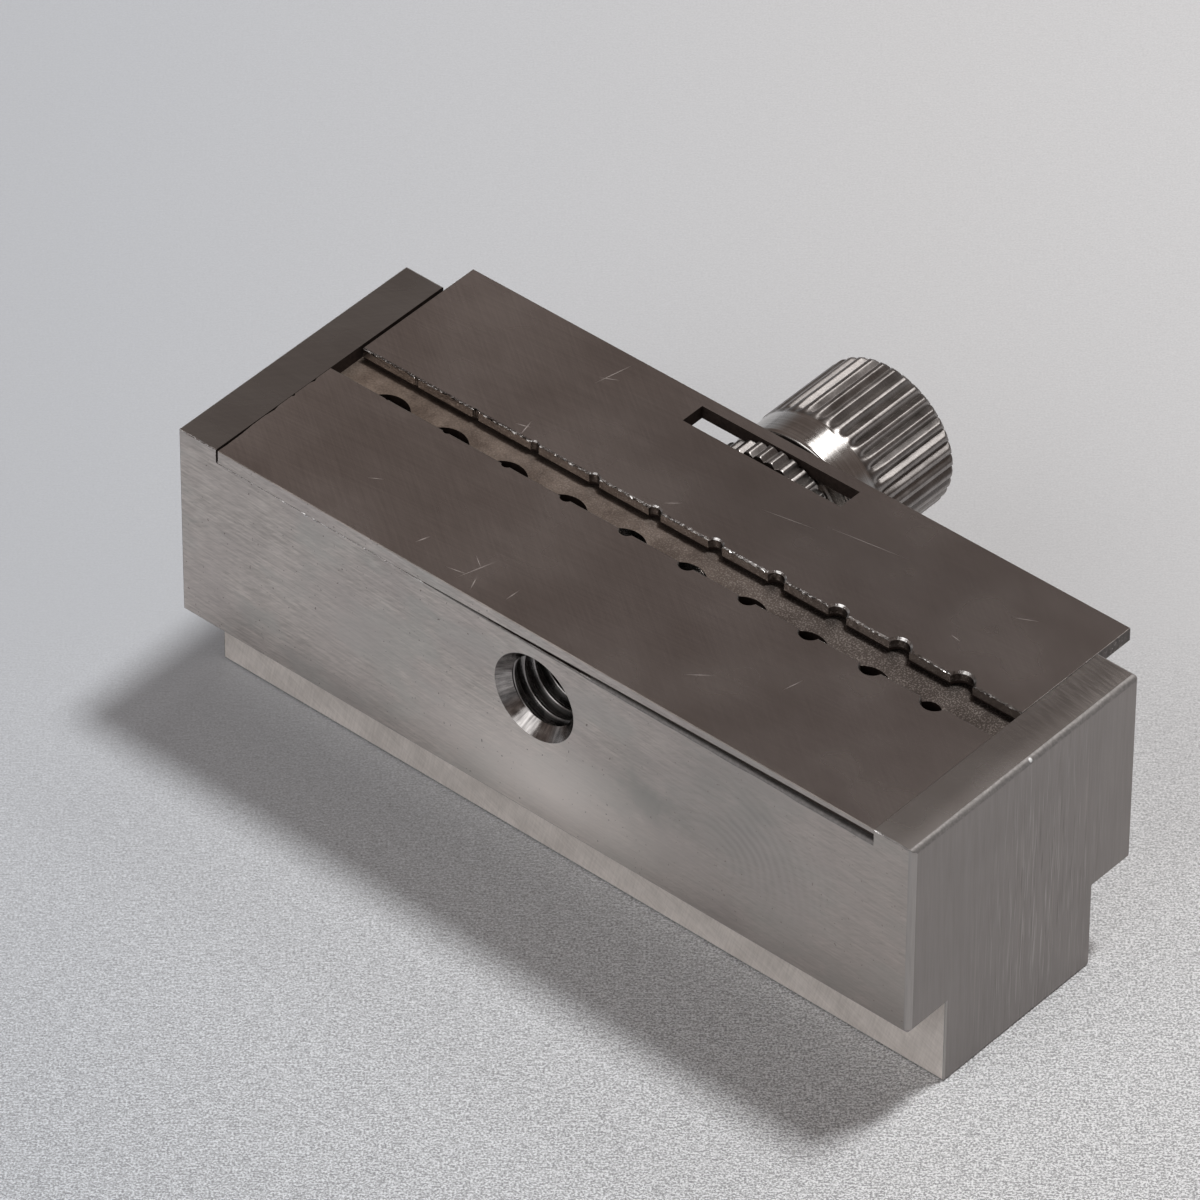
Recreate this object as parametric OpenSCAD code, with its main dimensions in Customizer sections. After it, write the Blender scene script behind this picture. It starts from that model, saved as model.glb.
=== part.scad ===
// Two-jaw holding clamp with a row of graduated half-holes and a thumbscrew.
// X runs along the body, Y from the front face to the thumbscrew, Z up from the bench.
// The origin is the middle of the foot's bottom face.

/* [Body] */
// Length of the body, end to end
body_l = 50; // [40:0.5:64]
// Width of the body, front to back
body_w = 17.9; // [14.5:0.1:24]
// Height from the bench to the top faces
body_h = 17.9; // [15:0.1:24]
// Thickness of each end post
post_w = 2.6; // [1.6:0.1:4]
// Edge break on the body's outer edges
edge_break = 0.2; // [0.05:0.05:0.5]
// Width of the foot
foot_w = 11.8; // [8:0.1:14]
// Height of the foot
foot_h = 5.5; // [3:0.1:7]

/* [Jaws] */
// Thickness of both jaw plates
jaw_t = 0.85; // [0.6:0.05:1.2]
// Height that the moving jaw rides above the floor
jaw_lift = 0.02; // [0.01:0.01:0.05]
// Gap between the moving jaw and each post
jaw_side_gap = 0.15; // [0.05:0.01:0.3]
// Gap between the fixed jaw and each post
fixed_side_gap = 0.08; // [0.02:0.01:0.2]
// Distance of the closed jaws' meeting line behind the middle of the body
jaw_line = 0.25; // [-1:0.05:1]
// Gap between the jaws as they stand
jaw_gap = 2.3; // [0.5:0.1:3.5]
// Distance that the closed moving jaw stands out behind the body
closed_overhang = 0.1; // [0:0.05:0.5]
// Edge break on the jaw plates
jaw_break = 0.08; // [0.02:0.01:0.2]
// Width of the moving jaw behind its slot
web_w = 0.75; // [0.5:0.05:1.5]

/* [Graduated holes] */
// Number of holes in the row
hole_count = 10; // [4:1:12]
// Diameter of the smallest hole
hole_d_min = 0.4; // [0.36:0.02:0.6]
// Step in diameter from one hole to the next
hole_d_step = 0.12; // [0.04:0.01:0.15]
// Gap between the jaws at which the half-holes make full circles
grip_gap = 0.3; // [0.1:0.05:0.34]
// Distance from each post to the nearest hole's centre
hole_margin = 3.95; // [2:0.05:6]
// Diameter of the relief holes in the floor
relief_d = 2.7; // [1.8:0.1:3]
// Diameter of the last relief hole, under the largest half-holes
relief_last_d = 1.8; // [1.6:0.1:3]
// Depth of the relief holes
relief_depth = 6; // [2:0.5:8]

/* [Seam under the fixed jaw] */
// Height of the open seam at the right end
seam_h = 0.32; // [0.1:0.02:0.6]
// Height of the open seam at the left end
seam_h_left = 0.05; // [0.02:0.01:0.1]
// Depth of the open seam behind the front face
seam_depth = 1.2; // [0.5:0.1:3]

/* [Thumbscrew] */
// Sideways place of the screw's axis
screw_x = -0.3; // [-3:0.1:3]
// Distance of the screw's axis below the top faces
screw_drop = 4.4; // [3.6:0.1:6]
// Outer diameter of the screw thread
thread_d = 5; // [4:0.1:6]
// Pitch of the screw thread
thread_pitch = 0.8; // [0.5:0.1:1]
// Radial clearance of the thread in the body
thread_play = 0.05; // [0.02:0.01:0.1]
// Length of the screw thread
thread_l = 10; // [8:0.5:14]
// How much wider than the thread its countersink is, on each side
mouth_margin = 0.2; // [0.05:0.05:0.6]
// Room between the thumbscrew's tip and the free front thread, jaws closed
tip_room = 0.28; // [0.1:0.02:1]
// Diameter of the ribbed head and collar
head_d = 9.1; // [7.5:0.1:11]
// Length of the head
head_l = 8; // [5:0.5:12]
// Length of the smooth band at the front of the head
band_l = 2; // [1:0.1:3]
// Depth of the smooth band below the rib tops
band_drop = 0.08; // [0.02:0.02:0.2]
// Thickness of the collar
collar_t = 1.15; // [0.8:0.05:2]
// Room on each side of the moving jaw's web in the groove
groove_play = 0.22; // [0.05:0.01:0.4]
// Room in front of the collar in the moving jaw's slot
collar_play = 0.2; // [0.1:0.05:0.4]
// Room between the bottom of the groove and the underside of the web
groove_room = 0.35; // [0.1:0.05:0.6]
// Room at each end of the moving jaw's slot
slot_room = 0.8; // [0.3:0.1:1.5]
// Number of ribs round the head
rib_count = 36; // [24:1:48]
// Depth of the ribs
rib_depth = 0.26; // [0.1:0.02:0.4]
// Radial room round the collar in its pocket
pocket_room = 0.25; // [0.15:0.05:0.6]
// Room behind the pocket's floor when the jaws are closed
pocket_end_room = 0.2; // [0.1:0.05:0.5]

/* [Fixed jaw pins] */
// Diameter of each pin
pin_d = 1.5; // [1:0.1:2]
// Length of each pin
pin_l = 6; // [3:0.5:9]
// Distance of each pin from the middle of the body
pin_x = 10; // [5:0.5:14]
// Diameter of each pin's peened head
pin_head_d = 2; // [1.6:0.1:2.4]

/* [Hidden] */
// Circles this fine are true curves
$fn = 96;
// Overlap of a cutting shape past the face that it cuts
cut = 1;

// Places along Y
front_y = -body_w / 2;
rear_y = body_w / 2;
fixed_jaw_w = jaw_line - front_y;
moving_jaw_w = rear_y - jaw_line + closed_overhang;
jaw_front_y = jaw_line + jaw_gap;
jaw_rear_y = jaw_front_y + moving_jaw_w;
web_y = jaw_rear_y - web_w;
collar_rear_y = web_y - groove_play;
collar_front_y = collar_rear_y - collar_t;
slot_y = collar_front_y - collar_play;
head_front_y = jaw_rear_y + groove_play;
head_rear_y = head_front_y + head_l;
rib_front_y = head_front_y + band_l + band_drop / 2;
pocket_y = collar_front_y - jaw_gap - pocket_end_room;
tip_y = collar_front_y - thread_l;
free_thread_y = tip_y - jaw_gap - tip_room;

// Places along X and Z
inner_half = body_l / 2 - post_w;
hole_pitch = 2 * (inner_half - hole_margin) / (hole_count - 1);
floor_z = body_h - jaw_t;
screw_z = body_h - screw_drop;
slot_l = head_d + 2 * slot_room;
pocket_d = head_d + 2 * pocket_room;
groove_r = screw_drop - jaw_t - groove_room;
pin_y = (front_y + jaw_line) / 2;
pin_head_h = (pin_head_d - pin_d) / 2;

function hole_x(i) = -inner_half + hole_margin + i * hole_pitch;
function hole_r(i) = (hole_d_min + i * hole_d_step) / 2;
function relief_r(i) = (i == hole_count - 1 ? relief_last_d : relief_d) / 2;

// A shape drawn in Y and Z, run along X from x0 to x1
module along_x(x0, x1) {
    translate([x0, 0, 0])
        rotate([90, 0, 90])
            linear_extrude(x1 - x0)
                children();
}

// A shape drawn in X and Z, run along Y from y0 to y1
module along_y(y0, y1) {
    translate([0, y1, 0])
        rotate([90, 0, 0])
            linear_extrude(y1 - y0)
                children();
}

// A shape turned about the screw's axis, drawn with Z running backwards from y = 0
module on_screw_axis() {
    translate([screw_x, 0, screw_z])
        rotate([-90, 0, 0])
            children();
}

// A rectangle with all four corners cut off
module broken_box(x0, y0, x1, y1, c) {
    polygon([
        [x0 + c, y0], [x1 - c, y0], [x1, y0 + c], [x1, y1 - c],
        [x1 - c, y1], [x0 + c, y1], [x0, y1 - c], [x0, y0 + c]
    ]);
}

// The body's end view: a wide block on a narrower foot
module body_end_view() {
    broken_box(-body_w / 2, foot_h, body_w / 2, body_h, edge_break);
    broken_box(-foot_w / 2, 0, foot_w / 2, foot_h + 2 * edge_break, edge_break);
}

module body_blank() {
    intersection() {
        along_x(-body_l / 2, body_l / 2)
            body_end_view();
        along_y(front_y, rear_y)
            broken_box(-body_l / 2, 0, body_l / 2, body_h, edge_break);
        linear_extrude(body_h)
            broken_box(-body_l / 2, front_y, body_l / 2, rear_y, edge_break);
    }
}

// The tapped hole right through the body, with its countersink in the front face.
// Its free front part is drawn at the tapping drill's size. Further in, where the
// thumbscrew's plain shank runs, it is drawn at the thread's full size.
module tapped_hole() {
    full_r = thread_d / 2;
    drill_r = (thread_d - thread_pitch) / 2;
    mouth_r = full_r + mouth_margin;
    on_screw_axis() {
        translate([0, 0, front_y - cut])
            cylinder(h = body_w + 2 * cut, r = drill_r);
        translate([0, 0, front_y - cut])
            cylinder(h = cut + mouth_r - drill_r, r1 = mouth_r + cut, r2 = drill_r);
        translate([0, 0, free_thread_y])
            cylinder(h = rear_y - free_thread_y + cut, r = full_r);
    }
}

// The pocket in the rear face that takes the collar as the jaws close
module collar_pocket() {
    on_screw_axis()
        translate([0, 0, pocket_y])
            cylinder(h = rear_y - pocket_y + cut, d = pocket_d);
}

module relief_holes() {
    for (i = [0 : hole_count - 1]) {
        translate([hole_x(i), 0, floor_z - relief_depth])
            cylinder(h = relief_depth + cut, r = relief_r(i));
    }
}

// The slight gap under the fixed jaw's front edge, wider at the right
module open_seam() {
    along_y(front_y - cut, front_y + seam_depth)
        polygon([
            [-inner_half, floor_z + cut], [inner_half, floor_z + cut],
            [inner_half, floor_z - seam_h], [-inner_half, floor_z - seam_h_left]
        ]);
}

// Pins, also used to cut their own holes
module jaw_pin(side) {
    translate([side * pin_x, pin_y, floor_z + jaw_t - pin_l]) {
        cylinder(h = pin_l, d = pin_d);
        translate([0, 0, pin_l - pin_head_h])
            cylinder(h = pin_head_h, d1 = pin_d, d2 = pin_head_d);
    }
}

module body() {
    color([0.55, 0.53, 0.51])
        difference() {
            body_blank();
            translate([-inner_half, front_y - cut, floor_z])
                cube([2 * inner_half, body_w + 2 * cut, jaw_t + cut]);
            tapped_hole();
            collar_pocket();
            relief_holes();
            open_seam();
            jaw_pin(-1);
            jaw_pin(1);
        }
}

// A flat plate with its top edges broken
module jaw_plate(x0, y0, z0, x1, y1, z1) {
    intersection() {
        along_x(x0, x1)
            polygon([
                [y0, z0], [y1, z0], [y1, z1 - jaw_break],
                [y1 - jaw_break, z1], [y0 + jaw_break, z1], [y0, z1 - jaw_break]
            ]);
        along_y(y0, y1)
            polygon([
                [x0, z0], [x1, z0], [x1, z1 - jaw_break],
                [x1 - jaw_break, z1], [x0 + jaw_break, z1], [x0, z1 - jaw_break]
            ]);
    }
}

// The row of half-holes, centred a little outside the edge at edge_y
module half_holes(edge_y, outward) {
    for (i = [0 : hole_count - 1]) {
        translate([hole_x(i), edge_y + outward * grip_gap / 2, floor_z - cut])
            cylinder(h = jaw_t + 2 * cut, r = hole_r(i), $fn = 48);
    }
}

module fixed_jaw() {
    half_l = inner_half - fixed_side_gap;
    color([0.36, 0.33, 0.31])
        difference() {
            jaw_plate(-half_l, front_y, floor_z, half_l, front_y + fixed_jaw_w, body_h);
            half_holes(jaw_line, 1);
            jaw_pin(-1);
            jaw_pin(1);
        }
}

module moving_jaw() {
    half_l = inner_half - jaw_side_gap;
    color([0.40, 0.37, 0.35])
        difference() {
            jaw_plate(-half_l, jaw_front_y, floor_z + jaw_lift, half_l, jaw_rear_y, body_h);
            half_holes(jaw_front_y, -1);
            translate([screw_x - slot_l / 2, slot_y, floor_z - cut])
                cube([slot_l, web_y - slot_y, jaw_t + 2 * cut]);
        }
}

// The thumbscrew's outline, radius against distance along the axis
module thumbscrew_outline() {
    shank_r = thread_d / 2 - thread_play;
    head_r = head_d / 2;
    band_r = head_r - band_drop;
    tip_break = 0.5;
    collar_break = 0.1;
    rear_break = 0.3;
    polygon([
        [0, tip_y], [shank_r - tip_break, tip_y], [shank_r, tip_y + tip_break],
        [shank_r, collar_front_y],
        [head_r - collar_break, collar_front_y], [head_r, collar_front_y + collar_break],
        [head_r, collar_rear_y - collar_break], [head_r - collar_break, collar_rear_y],
        [groove_r, collar_rear_y], [groove_r, head_front_y],
        [band_r - collar_break, head_front_y], [band_r, head_front_y + collar_break],
        [band_r, head_front_y + band_l], [head_r, head_front_y + band_l + band_drop],
        [head_r, head_rear_y - rear_break], [head_r - rear_break, head_rear_y],
        [0, head_rear_y]
    ]);
}

// One straight groove between two ribs, from y0 to y1
module rib_groove(y0, y1) {
    head_r = head_d / 2;
    half_w = rib_depth;
    translate([0, 0, y0])
        linear_extrude(y1 - y0)
            polygon([
                [head_r - rib_depth, 0], [head_r + cut, -half_w - cut], [head_r + cut, half_w + cut]
            ]);
}

module thumbscrew() {
    color([0.62, 0.61, 0.60])
        on_screw_axis()
            difference() {
                rotate_extrude()
                    thumbscrew_outline();
                for (i = [0 : rib_count - 1]) {
                    rotate([0, 0, i * 360 / rib_count]) {
                        rib_groove(collar_front_y - cut, collar_rear_y + groove_play / 2);
                        rib_groove(rib_front_y, head_rear_y + cut);
                    }
                }
            }
}

module left_jaw_pin() {
    color([0.45, 0.43, 0.42])
        jaw_pin(-1);
}

module right_jaw_pin() {
    color([0.45, 0.43, 0.42])
        jaw_pin(1);
}

body();
fixed_jaw();
moving_jaw();
thumbscrew();
left_jaw_pin();
right_jaw_pin();
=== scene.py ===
"""A small steel clamp with two jaw plates and a ribbed thumbscrew.

Every piece is modelled in millimetres and turned into metres once it is finished.
X runs along the clamp, Y from its front to the thumbscrew, Z up from the bench.
"""
import math
import random

import bpy
from mathutils import Matrix, Vector


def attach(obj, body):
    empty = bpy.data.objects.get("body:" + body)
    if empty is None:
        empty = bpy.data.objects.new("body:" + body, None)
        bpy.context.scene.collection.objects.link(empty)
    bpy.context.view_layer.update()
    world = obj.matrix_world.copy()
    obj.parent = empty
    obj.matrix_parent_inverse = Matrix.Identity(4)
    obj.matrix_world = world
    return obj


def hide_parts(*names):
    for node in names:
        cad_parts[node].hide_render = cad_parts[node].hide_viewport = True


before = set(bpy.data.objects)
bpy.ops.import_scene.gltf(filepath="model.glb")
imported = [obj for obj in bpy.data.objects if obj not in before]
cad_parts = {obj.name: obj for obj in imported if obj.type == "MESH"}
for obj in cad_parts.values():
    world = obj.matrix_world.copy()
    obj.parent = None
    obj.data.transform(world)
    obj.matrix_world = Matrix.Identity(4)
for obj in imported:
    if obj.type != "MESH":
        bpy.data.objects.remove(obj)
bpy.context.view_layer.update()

MM = 0.001

# Sizes of the clamp, in millimetres
HALF_L = 25.0
HALF_W = 8.95
TOP = 17.9
FLOOR = 17.05
INNER = 22.4
FOOT_HALF = 5.9
FOOT_H = 5.5
JAW_LINE = 0.25
JAW_FRONT = 2.55
JAW_REAR = 11.35
JAW_UNDER = 17.07
FIXED_X = (-22.37, 22.39)
MOVING_X = (-22.2, 22.37)
SLOT = (-5.65, 5.05, 9.03, 10.6)
UNDERCUT_Z = 17.33
# How far the moving jaw's front rim, the body's right end and the posts' front tops are worn round
RIM = 0.12
END_RIM = 0.30
POST_RIM = 0.07
# The jaws' facing edges run a little askew, both by the same slope
SKEW = math.tan(math.radians(0.6))
# The half-holes: the first one's place, their pitch, radii and how far their middles lie off the edge
HOLE_COUNT = 10
FIRST_HOLE = -18.45
HOLE_PITCH = 4.1
SMALLEST_R = 0.2
R_STEP = 0.06
HALF_GRIP = 0.15
# The relief holes below them, the last one apart: shift along X, place along Y, radius
RELIEF = (-0.12, -0.12, 1.45)
LAST_RELIEF = (-0.40, 0.50, 0.75)
RELIEF_DEEP = 6.0
SCREW_X = -0.3
SCREW_Z = 13.5
PITCH = 0.8
DRILL_R = 2.1
THREAD_R = 2.5
MOUTH_R = 2.7
MOUTH_DEEP = 0.72
BORE_STEP_Y = -3.35
POCKET_Y = 6.73
POCKET_R = 4.8
TIP_Y = -0.77
COLLAR = (9.23, 10.38)
HEAD = (11.57, 19.57)
HEAD_R = 4.55
BAND_R = 4.47
GROOVE_R = 3.2
RIB_FRONT = 13.57
RIB_COUNT = 36
PIN_X = 10.0
PIN_Y = -4.35
PIN_R = 0.75
PIN_LONG = 6.0


def hole_x(i):
    """Where along X a half-hole lies."""
    return FIRST_HOLE + HOLE_PITCH * i


def hole_r(i):
    """A half-hole's radius."""
    return SMALLEST_R + R_STEP * i


def only(obj):
    """Leaves this object alone selected and active."""
    if bpy.context.object and bpy.context.object.mode != "OBJECT":
        bpy.ops.object.mode_set(mode="OBJECT")
    bpy.ops.object.select_all(action="DESELECT")
    obj.select_set(True)
    bpy.context.view_layer.objects.active = obj


def edit(obj, kind, action="DESELECT"):
    """Opens the object in edit mode with nothing selected, or with all. kind is VERT, EDGE or FACE."""
    only(obj)
    bpy.ops.object.mode_set(mode="EDIT")
    bpy.ops.mesh.select_mode(type=kind)
    bpy.ops.mesh.select_all(action=action)


def pick(obj, kind, test):
    """Selects the vertices, edges or faces that pass the test, and says how many."""
    edit(obj, kind)
    bpy.ops.object.mode_set(mode="OBJECT")
    mesh = obj.data
    count = 0
    if kind == "VERT":
        for v in mesh.vertices:
            v.select = bool(test(v.co))
            count += v.select
    elif kind == "EDGE":
        for e in mesh.edges:
            a, b = (mesh.vertices[i].co for i in e.vertices)
            e.select = bool(test(a, b))
            count += e.select
    else:
        for p in mesh.polygons:
            p.select = bool(test(p.center, p.normal))
            count += p.select
    bpy.ops.object.mode_set(mode="EDIT")
    return count


def done():
    bpy.ops.object.mode_set(mode="OBJECT")


def move(obj, test, value):
    """Shifts the points that pass the test."""
    if pick(obj, "VERT", test):
        bpy.ops.transform.translate(value=value)
    done()


def named(name):
    """Names the object just added and works its place, turn and size into its mesh."""
    obj = bpy.context.object
    obj.name = name
    bpy.ops.object.transform_apply(location=True, rotation=True, scale=True)
    return obj


def block(name, low, high):
    """A cube brought to size between two corners."""
    bpy.ops.object.select_all(action="DESELECT")
    middle = [(a + b) / 2 for a, b in zip(low, high)]
    bpy.ops.mesh.primitive_cube_add(size=1, location=middle)
    bpy.ops.transform.resize(value=[b - a for a, b in zip(low, high)])
    return named(name)


def upright(name, x, y, z0, z1, radius, sides=64):
    """A cylinder that stands on end."""
    bpy.ops.object.select_all(action="DESELECT")
    bpy.ops.mesh.primitive_cylinder_add(
        vertices=sides, radius=radius, depth=z1 - z0, location=(x, y, (z0 + z1) / 2)
    )
    return named(name)


def along_screw(name, y0, y1, r0, r1, sides=96):
    """A cone or cylinder about the screw's axis, from y0 to y1."""
    bpy.ops.object.select_all(action="DESELECT")
    bpy.ops.mesh.primitive_cone_add(
        vertices=sides, radius1=r0, radius2=r1, depth=y1 - y0,
        location=(SCREW_X, (y0 + y1) / 2, SCREW_Z), rotation=(-math.pi / 2, 0, 0),
    )
    return named(name)


def slice_at(obj, place, normal, cap=False):
    """Cuts the mesh along a plane. With cap, what lies beyond goes and the cut is closed."""
    edit(obj, "VERT", "SELECT")
    bpy.ops.mesh.bisect(plane_co=place, plane_no=normal, use_fill=cap, clear_outer=cap)
    done()


def soften(obj, groups, steps):
    """Rounds several sets of edges at once, each by its own radius, so that their corners meet."""
    most = max(size for _, size in groups)
    only(obj)
    mesh = obj.data
    weights = mesh.attributes.new("bevel_weight_edge", "FLOAT", "EDGE")
    for edge in mesh.edges:
        a, b = (mesh.vertices[i].co for i in edge.vertices)
        sizes = [size for test, size in groups if test(a, b)]
        if sizes:
            weights.data[edge.index].value = max(sizes) / most
    mod = obj.modifiers.new("rounded", "BEVEL")
    mod.limit_method = "WEIGHT"
    mod.offset_type = "OFFSET"
    mod.width = most
    mod.segments = steps
    mod.use_clamp_overlap = False
    bpy.ops.object.modifier_apply(modifier=mod.name)
    spent = mesh.attributes.get("bevel_weight_edge")
    if spent:
        mesh.attributes.remove(spent)


def cut_across(obj, test, normal, places):
    """Cuts the faces that pass the test at several places along the normal."""
    for at in places:
        if pick(obj, "FACE", test):
            bpy.ops.mesh.bisect(plane_co=[at * v for v in normal], plane_no=normal)
        done()


def ruffle(obj, test, reach, seed, lots=6):
    """Shifts the points that pass the test a little, in a few lots that each go their own way."""
    chance = random.Random(seed)

    # Any two neighbours fall in lots that look unrelated, the same ones every time
    def lot(p):
        return int(abs(math.sin(p.x * 12.99 + p.y * 78.23 + p.z * 37.72)) * 43758) % lots

    for n in range(lots):
        shift = [chance.uniform(low, high) for low, high in reach]
        move(obj, lambda p: test(p) and lot(p) == n, shift)


def combine(obj, tool, how="DIFFERENCE"):
    """Cuts the tool's shape out of the object, or adds it."""
    only(obj)
    mod = obj.modifiers.new("cut", "BOOLEAN")
    mod.operation = how
    mod.solver = "EXACT"
    mod.object = tool
    bpy.ops.object.modifier_apply(modifier=mod.name)
    bpy.data.objects.remove(tool, do_unlink=True)


def draw_line(name, points):
    """A chain of edges drawn point by point from one vertex."""
    bpy.ops.object.select_all(action="DESELECT")
    bpy.ops.mesh.primitive_plane_add(size=1, location=points[0])
    obj = named(name)
    bpy.ops.object.mode_set(mode="EDIT")
    bpy.ops.mesh.select_mode(type="VERT")
    bpy.ops.mesh.select_all(action="SELECT")
    bpy.ops.mesh.merge(type="CENTER")
    for a, b in zip(points, points[1:]):
        step = [q - p for p, q in zip(a, b)]
        bpy.ops.mesh.extrude_vertices_move(TRANSFORM_OT_translate={"value": step})
    done()
    return obj


def tidy_mesh(obj, gap=0.0004):
    """Merges doubled points and turns every face outwards."""
    edit(obj, "VERT", "SELECT")
    bpy.ops.mesh.remove_doubles(threshold=gap)
    bpy.ops.mesh.normals_make_consistent(inside=False)
    done()


def turn_round(obj, steps):
    """Spins a drawn outline about the screw's axis into a closed solid."""
    edit(obj, "VERT", "SELECT")
    bpy.ops.mesh.spin(
        steps=steps, angle=2 * math.pi, center=(SCREW_X, 0, SCREW_Z), axis=(0, 1, 0)
    )
    done()
    tidy_mesh(obj)


def threaded_rod(name, y0, y1, root, crest, phase=0.0):
    """A right-handed thread about the screw's axis, cut square at both ends."""
    turns = math.ceil((y1 - y0) / PITCH) + 3
    start = y0 - 1.5 * PITCH + phase
    # One turn's outline: radius, and place along the pitch
    shape = [
        (root, 0.0), (root, 0.10), (root + 0.012, 0.13), (root + 0.045, 0.16),
        (crest - 0.02, 0.355), (crest, 0.395), (crest, 0.535), (crest - 0.02, 0.575),
        (root + 0.06, 0.735), (root + 0.02, 0.765), (root + 0.004, 0.785), (root, PITCH),
    ]
    points = [(SCREW_X + r, start + t, SCREW_Z) for r, t in shape]
    rod = draw_line(name, points)
    only(rod)
    # The modifier turns about the object's own origin, so that goes on the axis first
    bpy.context.scene.cursor.location = (SCREW_X, 0, SCREW_Z)
    bpy.ops.object.origin_set(type="ORIGIN_CURSOR")
    mod = rod.modifiers.new("thread", "SCREW")
    mod.axis = "Y"
    mod.angle = 2 * math.pi
    mod.screw_offset = PITCH
    mod.iterations = turns
    mod.steps = 72
    mod.render_steps = 72
    mod.use_merge_vertices = False
    bpy.ops.object.modifier_apply(modifier=mod.name)
    bpy.ops.object.transform_apply(location=True, rotation=True, scale=True)
    edit(rod, "VERT", "SELECT")
    bpy.ops.mesh.remove_doubles(threshold=0.0004)
    done()
    slice_at(rod, (0, y1, 0), (0, 1, 0), cap=True)
    slice_at(rod, (0, y0, 0), (0, -1, 0), cap=True)
    tidy_mesh(rod)
    return rod


def shade(obj, angle=30):
    """Smooth over small turns, flat faces kept flat."""
    only(obj)
    bpy.ops.object.shade_smooth_by_angle(angle=math.radians(angle))
    mod = obj.modifiers.new("flat faces stay flat", "WEIGHTED_NORMAL")
    mod.mode = "FACE_AREA"
    mod.weight = 80
    mod.keep_sharp = True
    bpy.ops.object.modifier_apply(modifier=mod.name)


def hand_over(obj, name, body):
    """Turns a finished piece into metres and puts it on its body in place of its CAD node."""
    only(obj)
    bpy.ops.transform.resize(value=(MM, MM, MM), center_override=(0, 0, 0))
    bpy.ops.object.transform_apply(location=True, rotation=True, scale=True)
    obj.name = name + "_finished"
    obj.data.name = obj.name
    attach(obj, body)
    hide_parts(name)


def finish_faces(obj, made, finishes):
    """Gives each face the first finish whose test it passes. finishes is a list of (name, test)."""
    for name, _ in finishes:
        obj.data.materials.append(made[name])
    for p in obj.data.polygons:
        for n, (_, test) in enumerate(finishes):
            if test(p.center, p.normal):
                p.material_index = n
                break


def steel(name, colour, roughness):
    """A metal with nothing on it yet: the material, its tree and its shader."""
    material = bpy.data.materials.new(name)
    material.use_nodes = True
    tree = material.node_tree
    shader = tree.nodes["Principled BSDF"]
    shader.inputs["Metallic"].default_value = 1.0
    shader.inputs["Base Color"].default_value = (*colour, 1)
    shader.inputs["Roughness"].default_value = roughness
    return material, tree, shader


def place(tree):
    node = tree.nodes.new("ShaderNodeTexCoord")
    return node.outputs["Object"]


def mapped(tree, at, size, turn, source=None):
    """Coordinates for a texture: its place and size in millimetres, and its turn in degrees."""
    mapping = tree.nodes.new("ShaderNodeMapping")
    mapping.vector_type = "TEXTURE"
    mapping.inputs["Location"].default_value = [v * MM for v in at]
    mapping.inputs["Rotation"].default_value = [math.radians(v) for v in turn]
    mapping.inputs["Scale"].default_value = [v * MM for v in size]
    tree.links.new(source or place(tree), mapping.inputs["Vector"])
    return mapping.outputs["Vector"]


def marks(tree, size, turn=(0, 0, 0), detail=2.0, shift=(0, 0, 0), source=None, lumpy=0.5):
    """Noise whose marks have this size in millimetres along their own turned axes."""
    where = mapped(tree, shift, size, turn, source)
    noise = tree.nodes.new("ShaderNodeTexNoise")
    noise.inputs["Scale"].default_value = 1.0
    noise.inputs["Detail"].default_value = detail
    noise.inputs["Roughness"].default_value = lumpy
    tree.links.new(where, noise.inputs["Vector"])
    return noise.outputs["Fac"]


def spread(tree, value, low, high, to_low, to_high, smooth=False):
    """Maps a value from one range to another."""
    node = tree.nodes.new("ShaderNodeMapRange")
    if smooth:
        node.interpolation_type = "SMOOTHSTEP"
    node.inputs["From Min"].default_value = low
    node.inputs["From Max"].default_value = high
    node.inputs["To Min"].default_value = to_low
    node.inputs["To Max"].default_value = to_high
    tree.links.new(value, node.inputs["Value"])
    return node.outputs["Result"]


def sums(tree, how, a, b):
    """One step of arithmetic on two values, each a socket or a number."""
    node = tree.nodes.new("ShaderNodeMath")
    node.operation = how
    for socket, value in zip(node.inputs, (a, b)):
        if isinstance(value, (int, float)):
            socket.default_value = value
        else:
            tree.links.new(value, socket)
    return node.outputs["Value"]


def times(tree, a, b):
    return sums(tree, "MULTIPLY", a, b)


def plus(tree, a, b):
    return sums(tree, "ADD", a, b)


def blend(tree, share, a, b):
    """Mixes two colours, each a socket or three numbers."""
    node = tree.nodes.new("ShaderNodeMix")
    node.data_type = "RGBA"
    tree.links.new(share, node.inputs["Factor"])
    for name, value in (("A", a), ("B", b)):
        socket = next(s for s in node.inputs if s.name == name and s.type == "RGBA")
        if isinstance(value, tuple):
            socket.default_value = (*value, 1)
        else:
            tree.links.new(value, socket)
    return next(s for s in node.outputs if s.type == "RGBA")


def relief(tree, shader, height, depth):
    """Raises the surface by height times depth, in millimetres."""
    node = tree.nodes.new("ShaderNodeBump")
    node.inputs["Strength"].default_value = 1.0
    node.inputs["Distance"].default_value = depth * MM
    tree.links.new(height, node.inputs["Height"])
    tree.links.new(node.outputs["Normal"], shader.inputs["Normal"])


def fleck(tree, at, size, turn=(0, 0, 0)):
    """A long thin mark that tapers to nothing: its middle, its half sizes and its turn."""
    where = mapped(tree, at, size, turn)
    ball = tree.nodes.new("ShaderNodeTexGradient")
    ball.gradient_type = "SPHERICAL"
    tree.links.new(where, ball.inputs["Vector"])
    return ball.outputs["Fac"]


def scratch(tree, start, end, width=0.05):
    """A scratch on a level face, from one point to another."""
    dx, dy = end[0] - start[0], end[1] - start[1]
    middle = ((start[0] + end[0]) / 2, (start[1] + end[1]) / 2, TOP)
    turn = math.degrees(math.atan2(dy, dx))
    return fleck(tree, middle, (math.hypot(dx, dy) / 2, width, 1.0), (0, 0, turn))


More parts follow.
